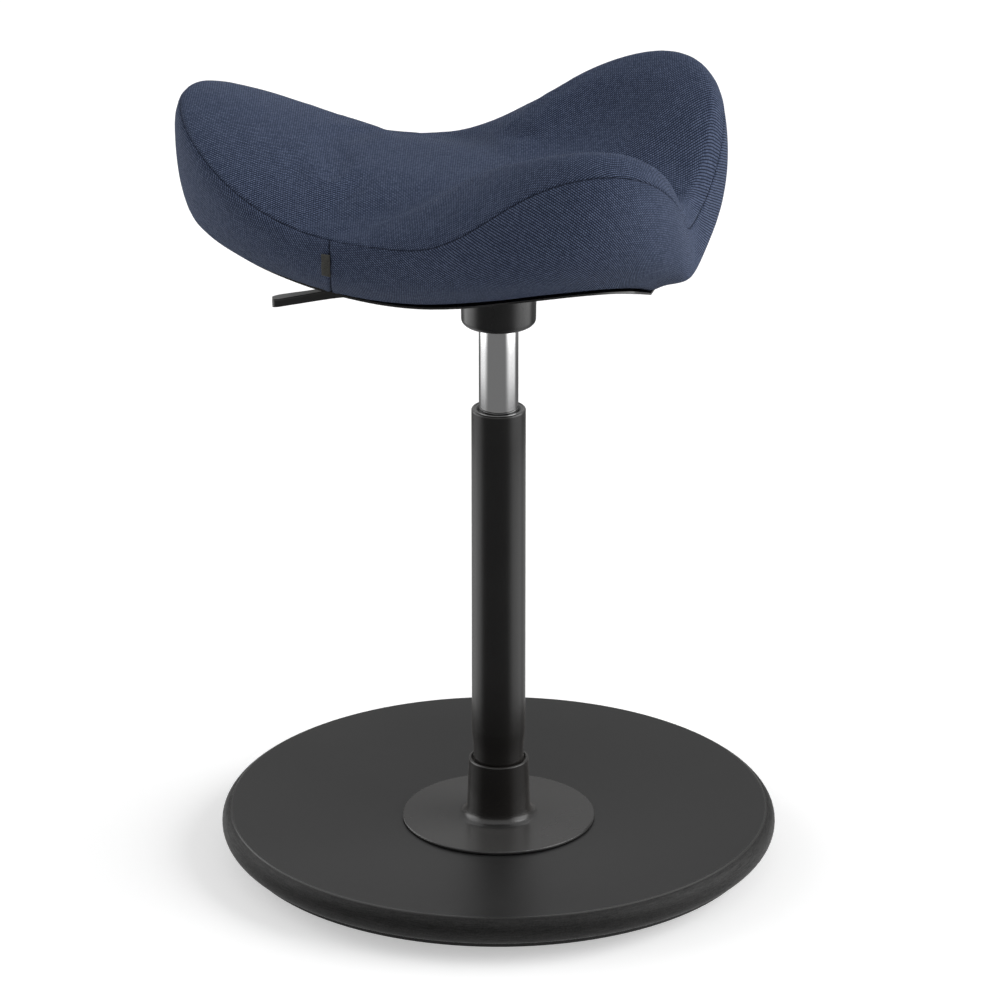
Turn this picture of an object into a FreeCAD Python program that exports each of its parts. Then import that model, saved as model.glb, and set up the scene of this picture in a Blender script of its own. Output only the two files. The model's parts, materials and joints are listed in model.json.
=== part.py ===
"""Perch stool: a saddle seat on a gas lift that stands in a round, slightly rocking base.

Frame: +Z up, the origin on the column's axis at the floor. The seat's nose points along -Y,
its two rear lobes lie towards +Y, and +X is the side towards which the lever leans.
All sizes are in millimetres. Heights are built up from the floor, piece on piece.
"""
import FreeCAD, Part
import math
import os

from FreeCAD import Vector

# Clearances
fit_gap = 0.02             # pressed or tapered seat inside one body
running_gap = 0.05         # shaft turning or sliding in its hole, per side
free_gap = 0.3             # pieces that pass each other or rest loosely

# Base disc: moulded laminate, flat in the middle and turned up towards its rim
base_diameter = 472.0
base_thickness = 24.0
base_flat_diameter = 220.0
base_rise = 12.0           # how far the rim lies above the flat middle
rim_bulge = 8.0            # how far the rounded rim stands past its top edge line
rim_edge_round = 1.4       # eased edges above and below the rounded rim
pad_thickness = 4.0        # rubber sheet under the disc
pad_inset = 4.0            # the sheet ends this far inside the disc's lower edge line

# Flange with its tapered collar, and its four bolts from below
flange_diameter = 164.0
flange_thickness = 3.0
flange_edge_round = 1.2
flange_relief_height = 1.0  # bevel under the flange's edge, which shows as a dark line
flange_relief_width = 3.0
collar_height = 52.0
collar_top_radius = 25.4
collar_foot_radius = 27.0
collar_fillet = 9.0
collar_lip_round = 1.3
collar_mouth_depth = 3.0   # countersink that shows as a dark ring round the tube
collar_mouth_width = 2.2
bolt_circle_radius = 58.0
bolt_count = 4
bolt_radius = 2.95
bolt_head_radius = 5.0
bolt_head_height = 4.0
bolt_socket_width = 4.0
bolt_socket_depth = 2.4
washer_radius = 8.0
washer_thickness = 1.6
bolt_recess_depth = 6.0
nut_width = 10.0           # across flats
nut_height = 5.0

# Stand tube
tube_radius = 22.75
tube_wall = 2.0
tube_length = 388.0
tube_floor_gap = 8.0       # from the rubber sheet up to the tube's lower end
tube_neck_radius = 21.3    # at the collar's mouth
tube_foot_radius = 19.8    # at the lower end
tube_neck_length = 8.0     # narrow part above the collar
tube_swage_length = 20.0   # soft curve from the neck out to the full radius
tube_rim_round = 1.6
bush_length = 70.0
bush_recess = 0.4          # bush below the tube's rim
bush_mouth_width = 2.0     # countersink round the cylinder
bush_mouth_depth = 2.5
end_plate_thickness = 3.0

# Thrust bearing under the piston rod
race_radius = 13.0
race_thickness = 2.0
ball_radius = 2.0
ball_count = 9
ball_circle_radius = 10.4
ball_gap = 0.03
cage_thickness = 1.6
cage_rim = 0.9             # cage metal outside and inside the balls

# Piston rod and its stack
rod_radius = 5.0
journal_radius = 4.0
rod_washer_thickness = 1.5
buffer_radius = 12.0
buffer_height = 15.0
clip_thickness = 1.2
clip_radius = 6.5
clip_groove_depth = 0.8
clip_washer_thickness = 1.5
clip_washer_radius = 7.5
rod_end_length = 2.0
piston_radius = 11.6
piston_height = 16.0
piston_ring_height = 3.0
piston_ring_depth = 1.6

# Gas cylinder, its travel from the height in the photograph, and what it holds
cylinder_radius = 16.5
cylinder_wall = 1.5
cylinder_shown = 75.0      # between the tube's rim and the cover cup at rest
lift_up = 145.0
lift_down = 55.0
gland_height = 16.0
seal_height = 5.0
seal_radius = 9.5
bypass_radius = 12.8
bypass_wall = 0.8
cone_lead = 1.5            # from the cup's bottom plane up to the start of the cone
cone_length = 24.0
cone_top_radius = 15.3
cylinder_top_wall = 3.0
valve_height = 30.0
pin_radius = 4.0
pin_length = 24.0
pin_proud = 6.0            # how far the release pin stands above the cylinder at rest
pin_crown = 1.2
pin_spare = 4.5            # free bore below the pin

# Cup that covers the socket
cup_radius = 31.6
cup_foot_radius = 31.1
cup_wall = 2.0
cup_round = 4.8
cup_floor = 2.5
cup_grip_height = 9.0

# Socket, mounting plate and its screws
socket_radius = 18.5
socket_lead = 6.0          # from the cup's bottom plane up to the socket's lower end
seat_plane_height = 45.0   # from the cup's bottom plane up to the plate's top
plate_thickness = 3.0
plate_width = 92.0
plate_length = 120.0
plate_corner = 12.0
screw_span_x = 68.0
screw_span_y = 96.0
screw_radius = 2.95
screw_head_radius = 5.25
screw_head_height = 3.2
screw_length = 12.0
tee_nut_radius = 4.2
tee_flange_radius = 9.0
tee_flange_thickness = 1.4

# Release lever
lever_azimuth = 18.0       # degrees from the nose towards +X
lever_reach = 187.0
lever_pivot_radius = 25.0
lever_pivot_drop = 3.2     # pivot below the arm's underside
lever_lift_clearance = 0.2  # between the arm and the release pin
arm_thickness = 2.5
arm_width = 12.0
arm_tail = 5.0             # past the column's axis
arm_reach = 112.0
hub_radius = 3.6
pivot_pin_radius = 1.75
ear_thickness = 2.5
ear_front_gap = 2.0
ear_drop = 5.5             # ear below the pivot
handle_above_arm = 1.6
handle_round = 1.2
handle_bend_start = 112.0  # level up to here, then bent down towards the tip
handle_bend_length = 20.0
handle_slope = 8.5         # degrees, past the bend
# Sections of the handle by their distance from its tip: a waist, then a broader grip
handle_from_tip = (147.0, 107.0, 75.0, 57.0, 39.0, 19.0, 5.0)
handle_width = (13.0, 13.0, 13.0, 10.5, 9.5, 11.4, 12.4)
handle_thickness = (9.0, 9.0, 8.6, 8.2, 7.8, 7.4, 7.2)
tip_from_tip = (5.0, 1.5, 0.0)
tip_width = (12.4, 10.6, 7.6)

# Seat form. Each row gives one size at the six stations round the seat, from the middle
# of the rear to the nose; a cosine series joins them, the same on both sides.
# The stations are the rear, the rear lobe, the lobe's front, the waist, the nose's side and
# the nose.
edge_reach = (168.0, 205.0, 193.0, 169.0, 219.0, 273.0)
crest_height = (77.5, 142.5, 138.5, 87.5, 82.0, 139.0)
hem_height = (-1.5, 29.0, 26.5, 7.0, 16.0, 40.0)
hem_inset = (28.0, 31.0, 37.5, 36.0, 28.0, 9.0)
shoulder_width = (13.5, 20.5, 51.5, 60.0, 14.5, 11.0)
shoulder_drop = (65.0, 49.0, 49.5, 22.0, 8.0, 11.0)
saddle_height = 88.5       # seat top over the column, above the seat plane
saddle_flatness = 3.7
saddle_flat_radius = 16.0
side_belly = 2.75          # how long the sides stay full before they draw in
hem_round = 6.0
ring_arcs = 16

# Moulded shell under the cushion
shell_flat_radius = 77.0
shell_thickness = 10.0
shell_rim_thickness = 1.6
shell_rim_inset = (1.5, 1.5, 1.5, 2.5, 8.0, 8.0)  # inside the cushion's hem, by station
shell_top_flat_radius = 70.0
foam_gap = 0.8             # between the shell and the cushion outside the flat middle

# Heights that follow from the sizes above
pad_top = pad_thickness
base_top = pad_top + base_thickness
flange_top = base_top + flange_thickness
collar_top = flange_top + collar_height
tube_bottom = pad_top + tube_floor_gap
tube_top = tube_bottom + tube_length
bush_top = tube_top - bush_recess
plate_floor_top = tube_bottom + end_plate_thickness
ball_height = plate_floor_top + race_thickness + ball_gap + ball_radius
upper_race_bottom = ball_height + ball_radius + ball_gap
rod_washer_bottom = upper_race_bottom + race_thickness
rod_shoulder = rod_washer_bottom + rod_washer_thickness
buffer_top = rod_shoulder + buffer_height
clip_washer_top = tube_bottom - running_gap
clip_top = clip_washer_top - clip_washer_thickness
rod_bottom = clip_top - clip_thickness - rod_end_length
cylinder_bottom = buffer_top + lift_down + free_gap
gland_top = cylinder_bottom + gland_height
seal_top = gland_top + seal_height
piston_bottom = seal_top + lift_up + free_gap
piston_top = piston_bottom + piston_height
cup_bottom = tube_top + cylinder_shown
cone_bottom = cup_bottom + cone_lead
cylinder_top = cone_bottom + cone_length
valve_top = cylinder_top - cylinder_top_wall
valve_bottom = valve_top - valve_height
pin_top = cylinder_top + pin_proud
seat_plane = cup_bottom + seat_plane_height
plate_bottom = seat_plane - plate_thickness
cup_top = plate_bottom - free_gap
arm_bottom = pin_top + lever_lift_clearance
arm_top = arm_bottom + arm_thickness
pivot_height = arm_bottom - lever_pivot_drop


def line(start, end):
    return Part.LineSegment(start, end).toShape()


def arc(start, middle, end):
    return Part.Arc(start, middle, end).toShape()


def turned(start, *steps):
    """Revolve a closed outline about Z. A step is (r, z) for a line, or two points for an arc."""
    edges = []
    here = Vector(start[0], 0, start[1])
    first = here
    for step in steps:
        if isinstance(step[0], tuple):
            middle, end = (Vector(r, 0, z) for r, z in step)
            edges.append(arc(here, middle, end))
        else:
            end = Vector(step[0], 0, step[1])
            edges.append(line(here, end))
        here = end
    if here.distanceToPoint(first) > 1e-6:
        edges.append(line(here, first))
    face = Part.Face(Part.Wire(edges))
    return face.revolve(Vector(0, 0, 0), Vector(0, 0, 1), 360)


def disc(radius, bottom, top, x=0.0, y=0.0):
    return Part.makeCylinder(radius, top - bottom, Vector(x, y, bottom))


def ring(outer, inner, bottom, top, x=0.0, y=0.0):
    return disc(outer, bottom, top, x, y).cut(disc(inner, bottom, top, x, y))


def circles_at(solid, radius):
    """Round edges of that radius about the column's axis."""
    return [edge for edge in solid.Edges
            if isinstance(edge.Curve, Part.Circle) and abs(edge.Curve.Radius - radius) < 1e-6]


def hexagon(width, bottom, top, x=0.0, y=0.0):
    corner = width / math.sqrt(3)
    points = [Vector(x + corner * math.cos(math.radians(60 * k)),
                     y + corner * math.sin(math.radians(60 * k)), bottom) for k in range(7)]
    return Part.Face(Part.makePolygon(points)).extrude(Vector(0, 0, top - bottom))


def rounded_block(x0, x1, y0, y1, bottom, top, radius):
    block = Part.makeBox(x1 - x0, y1 - y0, top - bottom, Vector(x0, y0, bottom))
    upright = [edge for edge in block.Edges
               if abs(edge.Vertexes[0].Z - edge.Vertexes[1].Z) > 1e-6]
    return block.makeFillet(radius, upright)


def group(solids):
    return Part.makeCompound(solids)


def save(node, shape):
    shape.exportStep("parts/%s.step" % node)


# Base: disc, rubber sheet, flange and its bolts

def dish_arc(flat_radius, height, edge_radius, rise):
    """Middle and end of the arc that turns a flat floor up to its edge without a crease."""
    run = edge_radius - flat_radius
    radius = (run * run + rise * rise) / (2 * rise)
    half_turn = math.asin(run / radius) / 2
    middle = (flat_radius + radius * math.sin(half_turn),
              height + radius * (1 - math.cos(half_turn)))
    return middle, (edge_radius, height + rise)


def bolt_places():
    for k in range(bolt_count):
        turn = math.radians(45 + 360 * k / bolt_count)
        yield bolt_circle_radius * math.cos(turn), bolt_circle_radius * math.sin(turn)


def tube_outer(z):
    """Outer radius of the stand tube's tapered foot at height z, below the collar's mouth."""
    share = (z - tube_bottom) / (collar_top - tube_bottom)
    return tube_foot_radius + (tube_neck_radius - tube_foot_radius) * share


def base_disc():
    flat = base_flat_diameter / 2
    edge = base_diameter / 2 - rim_bulge
    hole = tube_outer(base_top) + free_gap
    top_arc = dish_arc(flat, base_top, edge, base_rise)
    low_arc = dish_arc(flat, pad_top, edge, base_rise)
    rim = (base_diameter / 2, (top_arc[1][1] + low_arc[1][1]) / 2)
    solid = turned((hole, pad_top), (hole, base_top), (flat, base_top), top_arc,
                   (rim, low_arc[1]), (low_arc[0], (flat, pad_top)))
    solid = solid.makeFillet(rim_edge_round, circles_at(solid, edge))
    for x, y in bolt_places():
        solid = solid.cut(disc(bolt_radius + free_gap, pad_top, base_top, x, y))
        solid = solid.cut(disc(washer_radius + free_gap, pad_top,
                               pad_top + bolt_recess_depth, x, y))
        pocket = nut_width / math.sqrt(3) + free_gap
        solid = solid.cut(disc(pocket, base_top - nut_height, base_top, x, y))
    return solid


def foot_pad():
    flat = base_flat_diameter / 2
    edge = base_diameter / 2 - rim_bulge
    outer = edge - pad_inset
    top_arc = dish_arc(flat, pad_top, edge, base_rise)
    radius = ((edge - flat) ** 2 + base_rise ** 2) / (2 * base_rise)
    reach = math.asin((outer - flat) / radius)
    edge_top = (outer, pad_top + radius * (1 - math.cos(reach)))
    middle = (flat + radius * math.sin(reach / 2),
              pad_top + radius * (1 - math.cos(reach / 2)))
    low = (outer, edge_top[1] - pad_thickness)
    low_middle = (middle[0], middle[1] - pad_thickness)
    return turned((0, 0), (0, pad_top), (flat, pad_top), (middle, edge_top), low,
                  (low_middle, (flat, 0)))


def base_flange():
    outer = flange_diameter / 2
    foot = collar_foot_radius + collar_fillet
    fillet_middle = (collar_foot_radius + collar_fillet * (1 - math.sqrt(0.5)),
                     flange_top + collar_fillet * (1 - math.sqrt(0.5)))
    mouth = tube_outer(collar_top) + fit_gap + collar_mouth_width
    throat = tube_outer(collar_top - collar_mouth_depth) + fit_gap
    foot_bore = tube_outer(base_top) + fit_gap
    lip_nick = collar_lip_round * (1 - math.sqrt(0.5))
    return turned((foot_bore, base_top), (outer - flange_relief_width, base_top),
                  (outer, base_top + flange_relief_height), (outer, flange_top - flange_edge_round),
                  ((outer - flange_edge_round * (1 - math.sqrt(0.5)),
                    flange_top - flange_edge_round * (1 - math.sqrt(0.5))),
                   (outer - flange_edge_round, flange_top)),
                  (foot, flange_top), (fillet_middle, (collar_foot_radius, flange_top + collar_fillet)),
                  (collar_top_radius, collar_top - collar_lip_round),
                  ((collar_top_radius - lip_nick, collar_top - lip_nick),
                   (collar_top_radius - collar_lip_round, collar_top)),
                  (mouth, collar_top), (throat, collar_top - collar_mouth_depth))


def flange_bolts():
    head_top = pad_top + bolt_recess_depth - washer_thickness
    solids = []
    for x, y in bolt_places():
        bolt = disc(bolt_head_radius, head_top - bolt_head_height, head_top, x, y)
        bolt = bolt.fuse(disc(bolt_radius, head_top, base_top - free_gap, x, y))
        bottom = head_top - bolt_head_height
        solids.append(bolt.cut(hexagon(bolt_socket_width, bottom, bottom + bolt_socket_depth, x, y)))
    return group(solids)


def flange_washers():
    top = pad_top + bolt_recess_depth
    return group([ring(washer_radius, bolt_radius + free_gap, top - washer_thickness, top, x, y)
                  for x, y in bolt_places()])


def flange_nuts():
    solids = []
    for x, y in bolt_places():
        nut = hexagon(nut_width, base_top - nut_height, base_top, x, y)
        solids.append(nut.cut(disc(bolt_radius + fit_gap, base_top - nut_height, base_top, x, y)))
    return group(solids)


# Column: stand tube, end plate, guide bush and thrust bearing

def stand_tube():
    """Tube whose foot is swaged down to fit the collar, in two soft arcs."""
    neck_top = collar_top + tube_neck_length
    swage_top = neck_top + tube_swage_length
    half_step = (tube_radius - tube_neck_radius) / 2
    half_length = tube_swage_length / 2
    curve = (half_length ** 2 + half_step ** 2) / (2 * half_step)
    bow = curve - math.sqrt(curve ** 2 - (half_length / 2) ** 2)
    between = (tube_neck_radius + half_step, neck_top + half_length)
    inner = tube_radius - tube_wall
    nick = tube_rim_round * (1 - math.sqrt(0.5))
    return turned((tube_foot_radius, tube_bottom), (tube_neck_radius, collar_top),
                  (tube_neck_radius, neck_top),
                  ((tube_neck_radius + bow, neck_top + half_length / 2), between),
                  ((tube_radius - bow, swage_top - half_length / 2), (tube_radius, swage_top)),
                  (tube_radius, tube_top - tube_rim_round),
                  ((tube_radius - nick, tube_top - nick), (tube_radius - tube_rim_round, tube_top)),
                  (inner, tube_top), (inner, swage_top), (tube_neck_radius - tube_wall, neck_top),
                  (tube_neck_radius - tube_wall, collar_top),
                  (tube_foot_radius - tube_wall, tube_bottom))


def tube_end_plate():
    lower = tube_foot_radius - tube_wall - fit_gap
    return turned((journal_radius + running_gap, tube_bottom), (lower, tube_bottom),
                  (lower, plate_floor_top), (journal_radius + running_gap, plate_floor_top))


def guide_bush():
    bore = cylinder_radius + running_gap
    sleeve = tube_radius - tube_wall - fit_gap
    return turned((bore, bush_top - bush_length), (sleeve, bush_top - bush_length),
                  (sleeve, bush_top), (bore + bush_mouth_width, bush_top),
                  (bore, bush_top - bush_mouth_depth))


def race(bottom):
    return ring(race_radius, journal_radius + free_gap, bottom, bottom + race_thickness)


def ball_places():
    for k in range(ball_count):
        turn = 2 * math.pi * k / ball_count
        yield ball_circle_radius * math.cos(turn), ball_circle_radius * math.sin(turn)


def bearing_balls():
    return group([Part.makeSphere(ball_radius, Vector(x, y, ball_height)) for x, y in ball_places()])


def ball_cage():
    cage = ring(ball_circle_radius + ball_radius + cage_rim, ball_circle_radius - ball_radius - cage_rim,
                ball_height - cage_thickness / 2, ball_height + cage_thickness / 2)
    for x, y in ball_places():
        cage = cage.cut(disc(ball_radius + running_gap, ball_height - cage_thickness,
                             ball_height + cage_thickness, x, y))
    return cage


# Piston rod with what turns on it

def piston_rod():
    groove = journal_radius - clip_groove_depth
    return turned((0, rod_bottom), (journal_radius, rod_bottom),
                  (journal_radius, clip_top - clip_thickness), (groove, clip_top - clip_thickness),
                  (groove, clip_top), (journal_radius, clip_top), (journal_radius, rod_shoulder),
                  (rod_radius, rod_shoulder), (rod_radius, piston_top), (0, piston_top))


def retaining_clip():
    groove = journal_radius - clip_groove_depth
    clip = ring(clip_radius, groove + fit_gap, clip_top - clip_thickness, clip_top)
    mouth = Part.makeBox(clip_radius + 1, groove, clip_thickness * 3,
                         Vector(0, -groove / 2, clip_top - 2 * clip_thickness))
    return clip.cut(mouth)


def piston():
    middle = (piston_bottom + piston_top) / 2
    groove = piston_radius - piston_ring_depth
    bore = rod_radius + fit_gap
    half = piston_ring_height / 2
    return turned((bore, piston_bottom), (piston_radius, piston_bottom), (piston_radius, middle - half),
                  (groove, middle - half), (groove, middle + half), (piston_radius, middle + half),
                  (piston_radius, piston_top), (bore, piston_top))


def piston_ring():
    middle = (piston_bottom + piston_top) / 2
    half = piston_ring_height / 2 - fit_gap
    outer = bypass_radius - bypass_wall - running_gap
    return ring(outer, piston_radius - piston_ring_depth + fit_gap, middle - half, middle + half)


# Gas cylinder and what it holds

def cone_radius(z):
    share = (z - cone_bottom) / cone_length
    return cylinder_radius + (cone_top_radius - cylinder_radius) * share


def gas_cylinder():
    inner = cylinder_radius - cylinder_wall
    top_inner = cone_radius(valve_top) - cylinder_wall
    return turned((inner, cylinder_bottom), (cylinder_radius, cylinder_bottom),
                  (cylinder_radius, cone_bottom), (cone_top_radius, cylinder_top),
                  (pin_radius + free_gap, cylinder_top), (pin_radius + free_gap, valve_top),
                  (top_inner, valve_top), (inner, cone_bottom))


def rod_guide():
    return ring(cylinder_radius - cylinder_wall - fit_gap, rod_radius + running_gap,
                cylinder_bottom, gland_top)


def rod_seal():
    return ring(seal_radius, rod_radius + fit_gap + running_gap, gland_top, seal_top)


def bypass_tube():
    return ring(bypass_radius, bypass_radius - bypass_wall, gland_top, valve_bottom)


def valve_body():
    top_radius = cone_radius(valve_top) - cylinder_wall - fit_gap
    bore = pin_radius + running_gap
    bore_bottom = pin_top - pin_length - pin_spare
    return turned((0, valve_bottom), (bypass_radius, valve_bottom), (top_radius, cone_bottom),
                  (top_radius, valve_top), (bore, valve_top), (bore, bore_bottom), (0, bore_bottom))


def release_button():
    shoulder = pin_top - pin_crown
    crown = (pin_radius ** 2 + pin_crown ** 2) / (2 * pin_crown)
    half_turn = math.asin(pin_radius / crown) / 2
    middle = (crown * math.sin(half_turn), pin_top - crown * (1 - math.cos(half_turn)))
    return turned((0, pin_top - pin_length), (pin_radius, pin_top - pin_length),
                  (pin_radius, shoulder), (middle, (0, pin_top)))


# Under the seat: socket, plate, cup and lever

def along_lever(radius, side=0.0, z=0.0):
    """Point at a radius along the lever's direction, moved sideways across it."""
    turn = math.radians(lever_azimuth)
    ahead = Vector(math.sin(turn), -math.cos(turn), 0)
    across = Vector(math.cos(turn), math.sin(turn), 0)
    return ahead * radius + across * side + Vector(0, 0, z)


def lever_block(r0, r1, half_width, bottom, top):
    corners = [along_lever(r0, -half_width, bottom), along_lever(r1, -half_width, bottom),
               along_lever(r1, half_width, bottom), along_lever(r0, half_width, bottom)]
    face = Part.Face(Part.makePolygon(corners + corners[:1]))
    return face.extrude(Vector(0, 0, top - bottom))


def across_cylinder(radius, half_length):
    start = along_lever(lever_pivot_radius, -half_length, pivot_height)
    return Part.makeCylinder(radius, 2 * half_length, start, along_lever(0, 1))


def cone_socket():
    bottom = cup_bottom + socket_lead
    low = cone_radius(bottom) + fit_gap
    high = cone_radius(cylinder_top) + fit_gap
    socket = turned((low, bottom), (socket_radius, bottom), (socket_radius, seat_plane),
                    (high, seat_plane), (high, cylinder_top))
    slot = lever_block(0, socket_radius + 1, arm_width / 2 + 2 * free_gap,
                       pivot_height - hub_radius - free_gap, seat_plane)
    return socket.cut(slot)


def screw_places():
    for x in (-screw_span_x / 2, screw_span_x / 2):
        for y in (-screw_span_y / 2, screw_span_y / 2):
            yield x, y


def mounting_plate():
    plate = rounded_block(-plate_width / 2, plate_width / 2, -plate_length / 2, plate_length / 2,
                          plate_bottom, seat_plane, plate_corner)
    plate = plate.cut(disc(socket_radius + fit_gap, plate_bottom, seat_plane))
    for x, y in screw_places():
        plate = plate.cut(disc(screw_radius + free_gap, plate_bottom, seat_plane, x, y))
    return plate


def ear_end():
    return lever_pivot_radius + ear_front_gap


def lever_bracket():
    """Two ears that hang from the plate beside the socket and carry the pivot pin."""
    inner = arm_width / 2 + free_gap
    outer = inner + ear_thickness
    start = math.sqrt(socket_radius ** 2 - inner ** 2)
    bottom = pivot_height - ear_drop
    solids = []
    for side in (-1, 1):
        middle = side * (inner + outer) / 2
        corners = [along_lever(r, middle - ear_thickness / 2, bottom) for r in (start, ear_end())]
        corners += [along_lever(r, middle + ear_thickness / 2, bottom) for r in (ear_end(), start)]
        ear = Part.Face(Part.makePolygon(corners + corners[:1]))
        ear = ear.extrude(Vector(0, 0, plate_bottom - bottom))
        ear = ear.cut(disc(socket_radius + fit_gap, bottom, plate_bottom))
        solids.append(ear.cut(across_cylinder(pivot_pin_radius + fit_gap, outer + 1)))
    return group(solids)


def pivot_pin():
    return across_cylinder(pivot_pin_radius, arm_width / 2 + free_gap + ear_thickness)


def lever_arm():
    strip = lever_block(-arm_tail, arm_reach, arm_width / 2, arm_bottom, arm_top)
    web = lever_block(lever_pivot_radius - hub_radius, lever_pivot_radius + hub_radius,
                      arm_width / 2, pivot_height, arm_bottom)
    hub = across_cylinder(hub_radius, arm_width / 2)
    arm = strip.fuse([web, hub]).removeSplitter()
    return arm.cut(across_cylinder(pivot_pin_radius + running_gap, arm_width))


def handle_top(radius):
    """Height of the handle's top: level over the arm, then bent down towards the tip."""
    slope = math.tan(math.radians(handle_slope))
    past = min(max(radius - handle_bend_start, 0.0), handle_bend_length)
    beyond = max(radius - handle_bend_start - handle_bend_length, 0.0)
    return arm_top + handle_above_arm - slope * (past * past / (2 * handle_bend_length) + beyond)


def handle_section(radius, width, thickness):
    """Rounded rectangle across the lever."""
    top = handle_top(radius)
    bottom = top - thickness
    half = width / 2
    cut = handle_round
    nick = cut * (1 - math.sqrt(0.5))
    at = lambda side, z: along_lever(radius, side, z)
    edges = [line(at(-half + cut, bottom), at(half - cut, bottom)),
             arc(at(half - cut, bottom), at(half - nick, bottom + nick), at(half, bottom + cut)),
             line(at(half, bottom + cut), at(half, top - cut)),
             arc(at(half, top - cut), at(half - nick, top - nick), at(half - cut, top)),
             line(at(half - cut, top), at(-half + cut, top)),
             arc(at(-half + cut, top), at(-half + nick, top - nick), at(-half, top - cut)),
             line(at(-half, top - cut), at(-half, bottom + cut)),
             arc(at(-half, bottom + cut), at(-half + nick, bottom + nick), at(-half + cut, bottom))]
    return Part.Wire(edges)


def lever_handle():
    thin = handle_thickness[-1]
    grip = [handle_section(lever_reach - back, width, thickness)
            for back, width, thickness in zip(handle_from_tip, handle_width, handle_thickness)]
    tip = [handle_section(lever_reach - back, width, thin)
           for back, width in zip(tip_from_tip, tip_width)]
    handle = Part.makeLoft(grip, True).fuse(Part.makeLoft(tip, True, True))
    start = lever_reach - handle_from_tip[0]
    pocket = lever_block(start - 1, arm_reach, arm_width / 2, arm_bottom, arm_top)
    return handle.cut(pocket)


def cover_cup():
    inner = cup_radius - cup_wall
    foot_inner = cup_foot_radius - cup_wall
    hole = cylinder_radius + 3 * free_gap
    grip = socket_radius + fit_gap
    floor_top = cup_bottom + cup_floor
    side_low = cup_bottom + cup_round
    nick = cup_round * (1 - math.sqrt(0.5))
    inner_round = cup_round - cup_wall
    inner_nick = inner_round * (1 - math.sqrt(0.5))
    socket_bottom = cup_bottom + socket_lead
    cup = turned((hole, cup_bottom), (cup_foot_radius - cup_round, cup_bottom),
                 ((cup_foot_radius - nick, cup_bottom + nick), (cup_foot_radius, side_low)),
                 (cup_radius, cup_top), (inner, cup_top), (foot_inner, floor_top + inner_round),
                 ((foot_inner - inner_nick, floor_top + inner_nick),
                  (foot_inner - inner_round, floor_top)),
                 (grip + cup_wall, floor_top), (grip + cup_wall, socket_bottom + cup_grip_height),
                 (grip, socket_bottom + cup_grip_height), (grip, socket_bottom - fit_gap),
                 (hole, socket_bottom - fit_gap))
    slot = lever_block(0, cup_radius + 1, arm_width / 2 + 2 * free_gap,
                       pivot_height - hub_radius, cup_top + 1)
    return cup.cut(slot.cut(disc(ear_end(), cup_bottom, cup_top + 2)))


def plate_screws():
    solids = []
    for x, y in screw_places():
        head = disc(screw_head_radius, plate_bottom - screw_head_height, plate_bottom, x, y)
        shank = disc(screw_radius, plate_bottom, plate_bottom + screw_length, x, y)
        screw = head.fuse(shank)
        bottom = plate_bottom - screw_head_height
        solids.append(screw.cut(hexagon(bolt_socket_width, bottom, bottom + bolt_socket_depth, x, y)))
    return group(solids)


def tee_nuts():
    top = seat_plane + shell_thickness
    solids = []
    for x, y in screw_places():
        sleeve = disc(tee_nut_radius, seat_plane + free_gap, top, x, y)
        flange = disc(tee_flange_radius, top - tee_flange_thickness, top, x, y)
        hole = disc(screw_radius + fit_gap, seat_plane, top, x, y)
        solids.append(sleeve.fuse(flange).cut(hole))
    return group(solids)


# Seat: cushion and moulded shell, as lofts through closed rings of arcs

def cosine_series(values):
    """Function of the azimuth that passes through the values, evenly spaced from 0 to 180 degrees."""
    last = len(values) - 1
    factors = []
    for order in range(last + 1):
        total = 0.0
        for k, value in enumerate(values):
            end = 0.5 if k in (0, last) else 1.0
            total += end * value * math.cos(math.pi * order * k / last)
        factors.append(total * (1.0 if order in (0, last) else 2.0) / last)
    return lambda azimuth: sum(f * math.cos(order * azimuth) for order, f in enumerate(factors))


edge_at = cosine_series(edge_reach)
crest_at = cosine_series(crest_height)
hem_at = cosine_series(hem_height)
inset_at = cosine_series(hem_inset)
width_at = cosine_series(shoulder_width)
drop_at = cosine_series(shoulder_drop)
shell_inset_at = cosine_series(shell_rim_inset)


def flush(azimuth):
    """No distance inside the cushion's hem."""
    return 0.0


def top_point(share):
    """Point on the seat top: share 0 is over the column and 1 is the crest."""
    def point(azimuth):
        reach = (edge_at(azimuth) - width_at(azimuth)) * share
        climb = share ** saddle_flatness * (1 + saddle_flatness * (1 - share))
        return reach, saddle_height + (crest_at(azimuth) - saddle_height) * climb
    return point


def shoulder_point(turn):
    """Point on the rounded shoulder, from the crest (0 degrees) to the widest line (90)."""
    angle = math.radians(turn)

    def point(azimuth):
        reach = edge_at(azimuth) - width_at(azimuth) * (1 - math.sin(angle))
        return reach, crest_at(azimuth) - drop_at(azimuth) * (1 - math.cos(angle))
    return point


def side_point(share):
    """Point on the side that draws in, from the widest line (0) to the hem's round (1)."""
    def point(azimuth):
        start = crest_at(azimuth) - drop_at(azimuth)
        end = hem_at(azimuth) + hem_round
        return edge_at(azimuth) - inset_at(azimuth) * share ** side_belly, start + (end - start) * share
    return point


def hem_point(turn, raise_by=0.0):
    angle = math.radians(turn)

    def point(azimuth):
        reach = edge_at(azimuth) - inset_at(azimuth) - hem_round * (1 - math.cos(angle))
        return reach, hem_at(azimuth) + hem_round * (1 - math.sin(angle)) + raise_by
    return point


def level_point(radius, height):
    return lambda azimuth: (radius, height)


def under_point(share, raise_by, inner_at, flat_radius, flat_height):
    """Point on the underside between its flat middle (0) and inner_at inside the hem (1)."""
    hem = hem_point(90, raise_by)

    def point(azimuth):
        reach, height = hem(azimuth)
        part = share * (1 - inner_at(azimuth) / (reach - flat_radius))
        ease = part * part * (3 - 2 * part)
        blend = 0.5 * part + 0.5 * ease
        return flat_radius + (reach - flat_radius) * part, flat_height + (height - flat_height) * blend
    return point


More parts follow.
